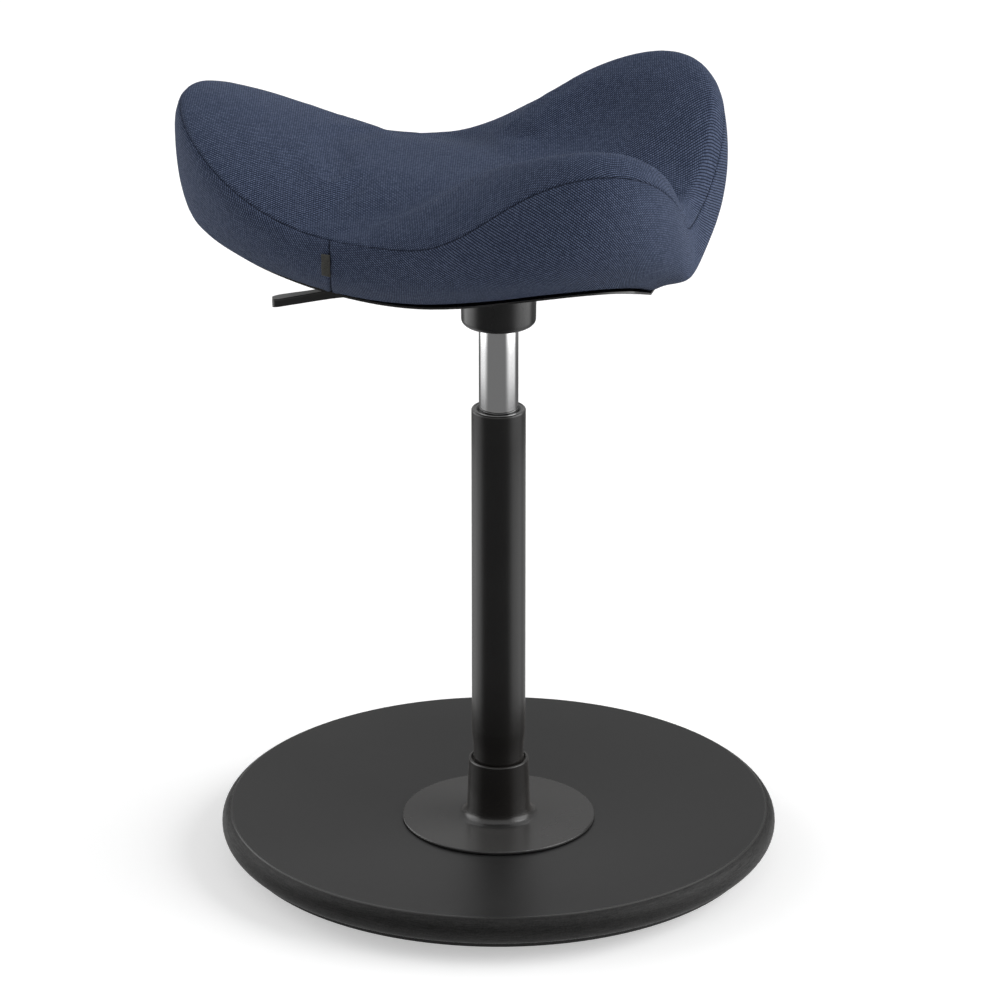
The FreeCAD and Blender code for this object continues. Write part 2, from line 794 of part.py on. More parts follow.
def seat_ring(point):
    """Closed ring of arcs round the seat; point gives reach and height above the seat plane."""
    step = 2 * math.pi / ring_arcs

    def place(turns):
        azimuth = (turns - 0.5) * step
        reach, height = point(azimuth)
        return Vector(reach * math.sin(azimuth), reach * math.cos(azimuth), seat_plane + height)
    return Part.Wire([arc(place(k), place(k + 0.5), place(k + 1)) for k in range(ring_arcs)])


def closed_solid(rings, stretches):
    """Solid from a loft over each stretch of rings, with flat faces on the first and last ring."""
    faces = [Part.Face(rings[0]), Part.Face(rings[-1])]
    for first, last in stretches:
        ruled = last - first == 1
        faces += Part.makeLoft(rings[first:last + 1], False, ruled).Faces
    solid = Part.Solid(Part.makeShell(faces))
    return solid if solid.Volume > 0 else solid.reversed()


def seat_cushion():
    flat_height = shell_thickness + free_gap
    points = [level_point(saddle_flat_radius, saddle_height)]
    points += [top_point(share) for share in (0.35, 0.6, 0.8, 0.92)]
    points += [shoulder_point(turn) for turn in (0, 30, 60, 90)]
    points += [side_point(share) for share in (0.35, 0.7, 1.0)]
    points += [hem_point(turn) for turn in (45, 90)]
    points += [under_point(0.5, 0, flush, shell_top_flat_radius, flat_height)]
    points += [level_point(shell_top_flat_radius, flat_height)]
    rings = [seat_ring(point) for point in points]
    return closed_solid(rings, ((0, 5), (5, 8), (8, 11), (11, 13), (13, 15)))


def seat_shell():
    over = (-foam_gap, shell_inset_at, shell_top_flat_radius, shell_thickness)
    under = (-foam_gap - shell_rim_thickness, shell_inset_at, shell_flat_radius, 0.0)
    points = [level_point(shell_top_flat_radius, shell_thickness)]
    points += [under_point(share, *over) for share in (0.5, 1.0)]
    points += [under_point(share, *under) for share in (1.0, 0.5)]
    points += [level_point(shell_flat_radius, 0.0)]
    rings = [seat_ring(point) for point in points]
    solid = closed_solid(rings, ((0, 2), (2, 3), (3, 5)))
    top = seat_plane + shell_thickness
    for x, y in screw_places():
        solid = solid.cut(disc(tee_nut_radius + fit_gap, seat_plane, top, x, y))
        solid = solid.cut(disc(tee_flange_radius + fit_gap, top - tee_flange_thickness, top, x, y))
    return solid


PIECES = {
    "base_disc": base_disc,
    "foot_pad": foot_pad,
    "base_flange": base_flange,
    "flange_bolts": flange_bolts,
    "flange_washers": flange_washers,
    "flange_nuts": flange_nuts,
    "stand_tube": stand_tube,
    "tube_end_plate": tube_end_plate,
    "guide_bush": guide_bush,
    "lower_race": lambda: race(plate_floor_top),
    "ball_cage": ball_cage,
    "bearing_balls": bearing_balls,
    "upper_race": lambda: race(upper_race_bottom),
    "rod_washer": lambda: ring(race_radius, journal_radius + fit_gap, rod_washer_bottom, rod_shoulder),
    "rubber_buffer": lambda: ring(buffer_radius, rod_radius + fit_gap, rod_shoulder, buffer_top),
    "clip_washer": lambda: ring(clip_washer_radius, journal_radius + fit_gap, clip_top,
                                clip_washer_top),
    "retaining_clip": retaining_clip,
    "piston_rod": piston_rod,
    "piston": piston,
    "piston_ring": piston_ring,
    "gas_cylinder": gas_cylinder,
    "rod_guide": rod_guide,
    "rod_seal": rod_seal,
    "bypass_tube": bypass_tube,
    "valve_body": valve_body,
    "release_button": release_button,
    "cone_socket": cone_socket,
    "mounting_plate": mounting_plate,
    "lever_bracket": lever_bracket,
    "pivot_pin": pivot_pin,
    "lever_arm": lever_arm,
    "lever_handle": lever_handle,
    "cover_cup": cover_cup,
    "plate_screws": plate_screws,
    "tee_nuts": tee_nuts,
    "seat_shell": seat_shell,
    "seat_cushion": seat_cushion,
}

os.makedirs("parts", exist_ok=True)
for node, build in PIECES.items():
    shape = build()
    save(node, shape)
    print("%-16s solids %d volume %.0f valid %s" % (node, len(shape.Solids), shape.Volume,
                                                    shape.isValid()))
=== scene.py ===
"""Looks of the perch stool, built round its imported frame.

Metres, +Z up, the origin on the column's axis at the floor, the seat's nose along -Y and the
release lever towards +X.
"""
import json
import math

import bpy
import numpy as np
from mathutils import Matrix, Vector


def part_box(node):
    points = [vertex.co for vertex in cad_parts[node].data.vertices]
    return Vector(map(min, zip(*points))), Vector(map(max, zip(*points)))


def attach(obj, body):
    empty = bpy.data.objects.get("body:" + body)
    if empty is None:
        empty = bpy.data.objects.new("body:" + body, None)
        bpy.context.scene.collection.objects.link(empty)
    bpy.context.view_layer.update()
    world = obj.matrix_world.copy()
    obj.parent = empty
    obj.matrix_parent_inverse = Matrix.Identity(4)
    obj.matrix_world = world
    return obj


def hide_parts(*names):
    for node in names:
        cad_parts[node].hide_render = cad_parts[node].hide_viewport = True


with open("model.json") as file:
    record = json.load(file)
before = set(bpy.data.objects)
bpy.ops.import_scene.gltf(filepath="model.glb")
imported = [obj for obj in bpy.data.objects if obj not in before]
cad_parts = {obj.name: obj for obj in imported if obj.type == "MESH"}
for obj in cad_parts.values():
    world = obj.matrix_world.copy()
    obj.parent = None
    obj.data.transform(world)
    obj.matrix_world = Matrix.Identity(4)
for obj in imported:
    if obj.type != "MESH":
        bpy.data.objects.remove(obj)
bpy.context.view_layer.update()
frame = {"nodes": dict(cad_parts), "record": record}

# Camera of the photograph, round the column's axis
camera_turn = 0.255          # radians, from +X towards +Y
camera_distance = 4.67632    # level distance from the axis
camera_height = 2.15365
camera_pitch = 0.374138      # radians below level
camera_lens = 216.0          # millimetres on a 36 mm sensor
camera_shift = 0.0014

# Seat form, the same as the solid's: six stations from the middle of the rear to the nose
edge_reach = (0.168, 0.205, 0.193, 0.169, 0.219, 0.273)
crest_height = (0.0775, 0.1425, 0.1385, 0.0875, 0.082, 0.139)
hem_height = (-0.0015, 0.029, 0.0265, 0.007, 0.016, 0.040)
hem_inset = (0.028, 0.031, 0.0375, 0.036, 0.028, 0.009)
shoulder_width = (0.0135, 0.0205, 0.0515, 0.060, 0.0145, 0.011)
shoulder_drop = (0.065, 0.049, 0.0495, 0.022, 0.008, 0.011)
seam_angle = (0.866, 0.883, 0.924, 1.448, 0.40, 0.577)   # radians down the shoulder
saddle_height = 0.0885
saddle_flatness = 3.7
side_belly = 2.75
hem_round = 0.006
crease_round = 0.007         # eases the creases between the band's parts
under_flat_radius = 0.070
under_flat_height = 0.0103

# Sewing: seams between the panels, the blank tag and the fabric itself
seam_depth = 0.0011
seam_width = 0.0007
seam_ridge = 0.0005          # seam allowance that lifts the cloth beside the seam
seam_ridge_place = 0.0034
seam_ridge_width = 0.0018
seam_rings = (0.0005, 0.0011, 0.0019, 0.0030, 0.0046)    # mesh lines beside a seam
side_seam_point = (0.1676, -0.0974)   # where the seam's upright plane meets the side
side_seam_heading = math.radians(14.0)   # of that plane, from +X towards +Y
side_seam_spread = 0.30      # radians over which the mesh follows the seam
side_seam_end = 0.095        # length down the band from which the seam runs straight under
tag_from, tag_to = 0.013, 0.034    # along the seam, from its top
tag_reach = 0.0062
tag_thickness = 0.0009
tag_root = 0.0012            # how deep the tag is sewn in
tag_lift = 0.0006            # of the tag's middle off the band, at the seam
tag_slope = 0.10             # how fast it rises away from there
yarn_pitch = 0.0018
yarn_wobble = 0.35           # in yarn pitches
float_length = 1.25          # in yarn pitches
wave_height = 0.00018        # of the slow unevenness of hand-pulled cloth
pillow_rise = 0.0022         # how far the padding lifts a panel between its seams
pillow_inset = 0.0012        # how far the seams lie inside the plain form
pillow_dip = 0.0005          # how far the cloth may sink below its start

# Mesh of the seat cover, and the coarser one of the cloth simulation
fine_rings = (58, 46)        # rings of the top and of the band
fine_columns = 360
coarse_rings = (30, 26)
coarse_columns = 128
cloth_frames = 20
cloth_pressure = 4.0
cloth_stiffness = 15.0

# Base disc: where its finishes change
rim_from, rim_to = 0.2288, 0.2296    # radii between which the top gives way to the rim
# Radius of the top edge line and height of the low edge line, both painted paler as a painted
# highlight
top_edge_radius = 0.2281
low_edge_height = 0.0165
# Below flange_top the coat is painted paler grey as a painted reflection; above collar_from it is
# black
flange_top, collar_from = 0.0310, 0.0360    # heights between which the flange gives way

# Stage
floor_reach = 60.0
floor_gap = 0.0002           # below the rubber, so that the two faces don't fight
surround_steps = 72
surround_outline = ((0.30, 0.001), (0.75, 0.002), (0.75, 0.6))    # radius and height
white = (1, 1, 1, 1)

seat_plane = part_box("mounting_plate")[1].z


def cosine_series(values):
    """Function of the azimuth through the values, evenly spaced from 0 to 180 degrees."""
    values = np.array(values)
    last = len(values) - 1
    order = np.arange(last + 1)
    end = np.where((order == 0) | (order == last), 0.5, 1.0)
    factors = [2 * end[m] * np.sum(end * values * np.cos(math.pi * m * order / last)) / last
               for m in order]
    return lambda azimuth: sum(f * np.cos(m * azimuth) for m, f in enumerate(factors))


edge_at = cosine_series(edge_reach)
crest_at = cosine_series(crest_height)
hem_at = cosine_series(hem_height)
inset_at = cosine_series(hem_inset)
width_at = cosine_series(shoulder_width)
drop_at = cosine_series(shoulder_drop)
seam_at = cosine_series(seam_angle)


def shoulder(azimuth, angle):
    """Reach and height on the rounded shoulder, at an angle from its top."""
    reach = edge_at(azimuth) - width_at(azimuth) * (1 - np.sin(angle))
    return reach, crest_at(azimuth) - drop_at(azimuth) * (1 - np.cos(angle))


def top_outline(azimuth):
    """Reach and height from the middle of the top to the seam, one row per azimuth."""
    share = np.linspace(0, 1, 90)
    reach = (edge_at(azimuth) - width_at(azimuth)) * share
    climb = share ** saddle_flatness * (1 + saddle_flatness * (1 - share))
    height = saddle_height + (crest_at(azimuth) - saddle_height) * climb
    round_reach, round_height = shoulder(azimuth, seam_at(azimuth) * np.linspace(0, 1, 40)[1:])
    return np.hstack([reach, round_reach]), np.hstack([height, round_height])


def band_outline(azimuth):
    """From the seam down the side, round the hem and under to the shell's flat middle."""
    angle = seam_at(azimuth) + (math.pi / 2 - seam_at(azimuth)) * np.linspace(0, 1, 30)
    parts = [shoulder(azimuth, angle)]
    share = np.linspace(0, 1, 50)[1:]
    start = crest_at(azimuth) - drop_at(azimuth)
    end = hem_at(azimuth) + hem_round
    parts.append((edge_at(azimuth) - inset_at(azimuth) * share ** side_belly,
                  start + (end - start) * share))
    turn = np.linspace(0, math.pi / 2, 12)[1:]
    hem_reach = edge_at(azimuth) - inset_at(azimuth) - hem_round * (1 - np.cos(turn))
    parts.append((hem_reach, hem_at(azimuth) + hem_round * (1 - np.sin(turn))))
    last_reach, last_height = parts[-1][0][:, -1:], parts[-1][1][:, -1:]
    share = np.linspace(1, 0, 40)[1:]
    blend = 0.5 * share + 0.5 * share * share * (3 - 2 * share)
    parts.append((under_flat_radius + (last_reach - under_flat_radius) * share,
                  under_flat_height + (last_height - under_flat_height) * blend))
    return np.hstack([p[0] for p in parts]), np.hstack([p[1] for p in parts])


def rounded(reach, height, radius):
    """The outlines with their creases eased over that length, their ends kept."""
    near = 12                # neighbours on each side
    spread = 5               # of the bell curve that weighs them
    weights = np.exp(-0.5 * (np.arange(-near, near + 1) / spread) ** 2)
    weights /= weights.sum()
    rows = []
    for r, h in zip(reach, height):
        length = np.concatenate([[0], np.cumsum(np.hypot(np.diff(r), np.diff(h)))])
        even = np.arange(0, length[-1], radius / 6)
        eased = []
        for values in (r, h):
            line = np.interp(even, length, values)
            before = 2 * line[0] - line[near:0:-1]
            after = 2 * line[-1] - line[-2:-near - 2:-1]
            padded = np.concatenate([before, line, after])
            eased.append(np.interp(length, even, np.convolve(padded, weights, "valid")))
        rows.append(eased)
    rows = np.array(rows)
    return rows[:, 0], rows[:, 1]


def along(reach, height, place):
    """Outline rows read at places(length) metres from their start: (reach, height, length)."""
    found = []
    for r, h in zip(reach, height):
        length = np.concatenate([[0], np.cumsum(np.hypot(np.diff(r), np.diff(h)))])
        at = place(length[-1])
        found.append((np.interp(at, length, r), np.interp(at, length, h), at))
    return np.array(found)


def round_turns(count):
    """Azimuths evenly spaced round the column."""
    return np.linspace(0, 2 * math.pi, count + 1)[:-1]


def signed_turn(azimuth):
    """The azimuth between -180 and 180 degrees."""
    return (azimuth + math.pi) % (2 * math.pi) - math.pi


table_turns = round_turns(720)


class SeatForm:
    """The seat's surface as rings of points: the top from its middle to the seam, then the band."""

    def __init__(self, top_rings, band_rings, near):
        near = np.array(near)
        reserve = near[-1] if len(near) else 0.0

        def top_places(length):
            main = np.linspace(0, length - reserve, top_rings)[1:]
            return np.concatenate([main, length - near[::-1][1:], [length]])

        def band_places(length):
            return np.concatenate([near, np.linspace(reserve, length, band_rings)[1:]])

        azimuth = table_turns[:, None]
        self.top = along(*top_outline(azimuth), top_places)
        self.band = along(*rounded(*band_outline(azimuth), crease_round), band_places)
        self.top_count = self.top.shape[2]
        self.band_count = self.band.shape[2]
        self.seam = np.array([self.seam_turn(ring) for ring in range(self.band_count)])
        hem = int(np.argmax(self.band[:, 2, :].mean(0) > side_seam_end))
        self.seam[hem:] = self.seam[hem]

    def seam_turn(self, ring):
        """Azimuth at which a ring of the band meets the side seam's upright plane."""
        turns = np.linspace(math.radians(105), math.radians(155), 400)
        reach = self.read(self.band, ring, turns)[0]
        x = reach * np.sin(turns) - side_seam_point[0]
        y = reach * np.cos(turns) - side_seam_point[1]
        off = y * math.cos(side_seam_heading) - x * math.sin(side_seam_heading)
        return turns[int(np.argmin(np.abs(off)))]

    def read(self, table, ring, azimuth):
        """A ring's reach, height and length at these azimuths."""
        return [np.interp(azimuth, table_turns, table[:, part, ring], period=2 * math.pi)
                for part in range(3)]

    def rings(self, azimuth):
        """Points (ring, column, xyz), each ring's distance from the seam, and its azimuths."""
        points, seam_distance, turns = [], [], []
        full = self.read(self.top, self.top_count - 1, azimuth)[2]
        for ring in range(self.top_count):
            reach, height, length = self.read(self.top, ring, azimuth)
            points.append(place_on(azimuth, reach, height))
            seam_distance.append(length - full)
            turns.append(azimuth)
        for ring in range(self.band_count):
            turned = following(azimuth, self.seam[0], self.seam[ring])
            reach, height, length = self.read(self.band, ring, turned)
            points.append(place_on(turned, reach, height))
            seam_distance.append(length)
            turns.append(turned)
        return np.array(points), np.array(seam_distance), np.array(turns)


def place_on(azimuth, reach, height):
    """Points at that azimuth from the rear, reach from the axis and height over the plate."""
    return np.stack([reach * np.sin(azimuth), reach * np.cos(azimuth), seat_plane + height], -1)


def following(azimuth, first_seam, seam):
    """Columns of the band, turned so that they run along the two side seams."""
    signed = signed_turn(azimuth)
    near_seam = np.exp(-((np.abs(signed) - first_seam) / side_seam_spread) ** 2)
    return azimuth + np.sign(signed) * (seam - first_seam) * near_seam


def ring_normals(points):
    """Outward unit normals of a grid of rings that close on themselves."""
    across = np.roll(points, -1, axis=1) - np.roll(points, 1, axis=1)
    down = np.gradient(points, axis=0)
    normals = np.cross(across, down)
    normals /= np.maximum(np.linalg.norm(normals, axis=2, keepdims=True), 1e-12)
    middle = points.reshape(-1, 3).mean(0)
    if ((points - middle) * normals).sum() < 0:
        normals = -normals
    return normals


def mesh_of_rings(name, points, first_middle, last_middle):
    """Closed mesh over rings of points, with a fan at each end."""
    ring_count, column_count, _ = points.shape
    verts = np.vstack([points.reshape(-1, 3), [first_middle, last_middle]])
    first, last = len(verts) - 2, len(verts) - 1
    faces = []
    for i in range(ring_count - 1):
        here, below = i * column_count, (i + 1) * column_count
        for j in range(column_count):
            k = (j + 1) % column_count
            faces.append((here + j, below + j, below + k, here + k))
    tail = (ring_count - 1) * column_count
    for j in range(column_count):
        k = (j + 1) % column_count
        faces.append((first, j, k))
        faces.append((last, tail + k, tail + j))
    mesh = bpy.data.meshes.new(name)
    mesh.from_pydata(verts.tolist(), [], faces)
    mesh.update()
    mesh.polygons.foreach_set("use_smooth", [True] * len(mesh.polygons))
    piece = bpy.data.objects.new(name, mesh)
    bpy.context.scene.collection.objects.link(piece)
    return piece


def flip_if_inside_out(piece):
    """Turns the faces round where the mesh encloses a negative volume."""
    mesh = piece.data
    co = np.zeros(len(mesh.vertices) * 3)
    mesh.vertices.foreach_get("co", co)
    co = co.reshape(-1, 3)
    volume = 0.0
    for face in mesh.polygons:
        v = [co[i] for i in face.vertices]
        for k in range(1, len(v) - 1):
            volume += np.dot(v[0], np.cross(v[k], v[k + 1]))
    if volume < 0:
        mesh.flip_normals()


def pillowed_panels(sim_form, sim_azimuth):
    """Cloth stretched over the padding: pinned at the seams and the hem, and blown up a little.

    Gives the lift along the normal for each ring and column of the simulated grid.
    """
    points = sim_form.rings(sim_azimuth)[0]
    normals = ring_normals(points)
    start = points - normals * pillow_inset
    cloth = mesh_of_rings("cloth", start, start[0].mean(0), start[-1].mean(0))
    flip_if_inside_out(cloth)
    held = np.zeros(points.shape[:2], bool)
    held[sim_form.top_count - 1:sim_form.top_count + 1] = True
    held[-sim_form.band_count // 2:] = True
    group = cloth.vertex_groups.new(name="held")
    low_middle = held.size + 1
    group.add(np.flatnonzero(held.ravel()).tolist() + [low_middle], 1.0, "REPLACE")
    modifier = cloth.modifiers.new("cloth", "CLOTH")
    settings = modifier.settings
    settings.vertex_group_mass = "held"
    settings.quality = 6
    settings.mass = 0.3
    settings.tension_stiffness = cloth_stiffness
    settings.compression_stiffness = cloth_stiffness
    settings.bending_stiffness = 0.5
    settings.use_pressure = True
    settings.uniform_pressure_force = cloth_pressure
    settings.effector_weights.gravity = 0
    modifier.point_cache.frame_start = 1
    modifier.point_cache.frame_end = cloth_frames
    for step in range(1, cloth_frames + 1):
        bpy.context.scene.frame_set(step)
    settled = cloth.evaluated_get(bpy.context.evaluated_depsgraph_get()).to_mesh()
    co = np.zeros(len(settled.vertices) * 3)
    settled.vertices.foreach_get("co", co)
    moved = co.reshape(-1, 3)[:-2].reshape(points.shape)
    bpy.data.objects.remove(cloth)
    bpy.context.scene.frame_set(1)
    lift = ((moved - start) * normals).sum(2)
    return np.clip(lift, -pillow_dip, pillow_rise + pillow_inset) - pillow_inset


def read_lift(lift, sim_form, sim_azimuth, form, azimuth):
    """The simulated lift, read at every ring and column of the finer grid."""
    def shares(some_form):
        """Place of each ring: 0 to 1 from the middle to the seam, 1 to 2 down the band."""
        top = some_form.top[0, 2] / some_form.top[0, 2, -1]
        band = 1 + 1e-6 + some_form.band[0, 2] / some_form.band[0, 2, -1]
        return np.concatenate([top, band])

    by_column = np.array([np.interp(azimuth, sim_azimuth, row, period=2 * math.pi)
                          for row in lift])
    here, there = shares(form), shares(sim_form)
    return np.array([np.interp(here, there, column) for column in by_column.T]).T


def seat_columns(seam):
    """Azimuths of the fine grid, with extra mesh lines beside the two side seams."""
    reach = float(edge_at(np.array(seam)))
    offsets = np.array([0.0] + [s * d / reach for d in seam_rings for s in (-1, 1)])
    extra = [(sign * (seam + offsets)) % (2 * math.pi) for sign in (1, -1)]
    clear = seam_rings[-1] / reach + 0.004
    kept = [a for a in round_turns(fine_columns)
            if min(abs(a - seam), abs(a - 2 * math.pi + seam)) > clear]
    return np.sort(np.concatenate([kept] + extra))


def seam_closeness(distance):
    """1 on a seam, fading to 0 beside it."""
    return np.exp(-(distance / seam_width) ** 2)


def seam_profile(distance):
    """Height of the cloth near a seam, by its distance in metres along the surface."""
    away = np.abs(distance)
    groove = -seam_depth * seam_closeness(distance)
    return groove + seam_ridge * np.exp(-((away - seam_ridge_place) / seam_ridge_width) ** 2)


def cloth_waves(points):
    """Small slow unevenness of hand-pulled cloth."""
    x, y, z = (points[..., k] for k in range(3))
    wave = np.sin(61 * x + 23 * y) * np.sin(47 * y - 31 * z + 1.3)
    wave += 0.6 * np.sin(118 * x - 71 * y + 2.1) * np.sin(97 * z + 53 * x)
    return wave_height * wave


def seat_cushion():
    """The stretched cover with its seams, and what the tag needs to lie on it."""
    form = SeatForm(*fine_rings, seam_rings)
    azimuth = seat_columns(form.seam[0])
    points, distance, turns = form.rings(azimuth)
    normals = ring_normals(points)
    sim_form = SeatForm(*coarse_rings, ())
    sim_azimuth = round_turns(coarse_columns)
    lift = pillowed_panels(sim_form, sim_azimuth)
    lift = read_lift(lift, sim_form, sim_azimuth, form, azimuth)

    top_count = form.top_count
    side_seam = np.concatenate([np.full(top_count, form.seam[0]), form.seam])[:, None]
    reach = np.hypot(points[..., 0], points[..., 1])
    side_distance = (np.abs(signed_turn(turns)) - side_seam) * reach
    on_band = (np.arange(len(turns)) >= top_count)[:, None]

    relief = seam_profile(distance)
    side = seam_profile(side_distance) * on_band
    height = lift + relief + side + cloth_waves(points)
    shaped = points + normals * height[..., None]
    shaped[-1] = points[-1]

    piece = mesh_of_rings("seat_cover", shaped, shaped[0].mean(0),
                          np.array([0, 0, seat_plane + under_flat_height]))
    flip_if_inside_out(piece)
    add_cloth_attributes(piece, form, azimuth, distance, side_distance, on_band, points)
    return piece, points, normals, form, azimuth


def add_cloth_attributes(piece, form, azimuth, distance, side_distance, on_band, points):
    """Flat cloth coordinates in metres for the weave, and how close each point is to a seam."""
    length = np.zeros(distance.shape)
    first = np.linalg.norm(points[0] - points[0].mean(0), axis=1)
    length[:form.top_count] = distance[:form.top_count] - distance[0] + first
    top = np.stack([length * np.sin(azimuth), length * np.cos(azimuth)], -1)
    middle = form.top_count + form.band_count // 4
    step = np.linalg.norm(np.roll(points[middle], -1, axis=0) - points[middle], axis=1)
    round_length = np.concatenate([[0], np.cumsum(step)])[:-1]
    full = step.sum()
    rear = np.where(round_length > full / 2, round_length - full, round_length)
    front = round_length - full / 2
    is_front = np.abs(signed_turn(azimuth)) > form.seam[0]
    cloth = np.zeros(distance.shape + (3,))
    cloth[..., 0] = np.where(on_band, np.where(is_front, front, rear), top[..., 0])
    cloth[..., 1] = np.where(on_band, distance, top[..., 1])
    cloth[..., 2] = np.where(on_band, 1.0, 0.0)
    # Closeness to a seam; the cover's material darkens the seams with it, partly the dark thread
    # and partly painted shade in the groove
    crease = np.maximum(seam_closeness(distance), seam_closeness(side_distance) * on_band)
    ends = np.zeros((2, 3))
    ends[1, 1] = distance[-1].mean() + under_flat_radius
    flat = np.vstack([cloth.reshape(-1, 3), ends]).astype(np.float32)
    weave = piece.data.attributes.new("cloth", "FLOAT_VECTOR", "POINT")
    weave.data.foreach_set("vector", flat.ravel())
    seam = piece.data.attributes.new("seam", "FLOAT", "POINT")
    seam.data.foreach_set("value", np.concatenate([crease.ravel(), [0, 0]]).astype(np.float32))


def seam_tag(points, normals, form, azimuth):
    """Blank woven tag, folded and sewn into the near side seam, lying towards the nose."""
    column = int(np.argmin(np.abs(azimuth - form.seam[0])))
    band = slice(form.top_count, form.top_count + form.band_count)
    line = points[band, column]
    outward = normals[band, column]
    along_line = np.concatenate([[0], np.cumsum(np.linalg.norm(np.diff(line, axis=0), axis=1))])
    places = np.linspace(tag_from, tag_to, 12)
    spine = np.stack([np.interp(places, along_line, line[:, k]) for k in range(3)], -1)
    out = np.stack([np.interp(places, along_line, outward[:, k]) for k in range(3)], -1)
    down = np.gradient(spine, axis=0)
    down /= np.linalg.norm(down, axis=1, keepdims=True)
    to_nose = np.cross(down, out)
    to_nose *= np.sign(-to_nose[:, 1:2])
    half = tag_thickness / 2
    outline = [(-tag_root, -half), (tag_reach - half, -half)]
    outline += [(tag_reach - half + half * math.sin(t), -half * math.cos(t))
                for t in np.linspace(0.3, math.pi - 0.3, 7)]
    outline += [(tag_reach - half, half), (-tag_root, half)]
    rings = np.array([[centre + ahead * a + normal * (b + tag_lift + tag_slope * max(a, 0))
                       for a, b in outline]
                      for centre, normal, ahead in zip(spine, out, to_nose)])
    piece = mesh_of_rings("seam_tag", rings, rings[0].mean(0), rings[-1].mean(0))
    flip_if_inside_out(piece)
    return piece


# Node helpers

def put(tree, kind, inputs=None, **settings):
    """Add a node. An input is a value or another node's output."""
    made = tree.nodes.new(kind)
    for key, value in settings.items():
        setattr(made, key, value)
    for key, value in (inputs or {}).items():
        if isinstance(value, bpy.types.NodeSocket):
            tree.links.new(value, made.inputs[key])
        else:
            made.inputs[key].default_value = value
    return made


def calc(tree, operation, first, second=0.0, third=0.0):
    made = put(tree, "ShaderNodeMath", {0: first, 1: second, 2: third}, operation=operation)
    return made.outputs[0]


def mixed(tree, share, first, second):
    made = put(tree, "ShaderNodeMix", {0: share, 6: first, 7: second}, data_type="RGBA")
    return made.outputs[2]


def blended(tree, share, first, second):
    made = put(tree, "ShaderNodeMix", {0: share, 2: first, 3: second}, data_type="FLOAT")
    return made.outputs[0]


def noise(tree, vector, scale, detail=3.0, roughness=0.5):
    made = put(tree, "ShaderNodeTexNoise",
               {"Vector": vector, "Scale": scale, "Detail": detail, "Roughness": roughness})
    return made.outputs[0]


def ramp(tree, value, low, high, low_to=0.0, high_to=1.0):
    made = put(tree, "ShaderNodeMapRange", {0: value, 1: low, 2: high, 3: low_to, 4: high_to})
    return made.outputs[0]


def stretched(tree, vector, scale):
    made = put(tree, "ShaderNodeVectorMath", {0: vector, 1: scale}, operation="MULTIPLY")
    return made.outputs[0]


def bumped(tree, height, distance, strength=1.0, normal=None):
    inputs = {"Height": height, "Distance": distance, "Strength": strength}
    if normal is not None:
        inputs["Normal"] = normal
    return put(tree, "ShaderNodeBump", inputs).outputs[0]


def new_material(name, **values):
    """Material with a Principled shader whose plain values are on its own sockets."""
    made = bpy.data.materials.new(name)
    made.use_nodes = True
    tree = made.node_tree
    shader = tree.nodes["Principled BSDF"]
    for key, value in values.items():
        shader.inputs[key.replace("_", " ")].default_value = value
    place = tree.nodes.new("ShaderNodeTexCoord").outputs["Object"]
    return made, tree, shader, place


def link(tree, socket, shader, name):
    tree.links.new(socket, shader.inputs[name])


# Materials

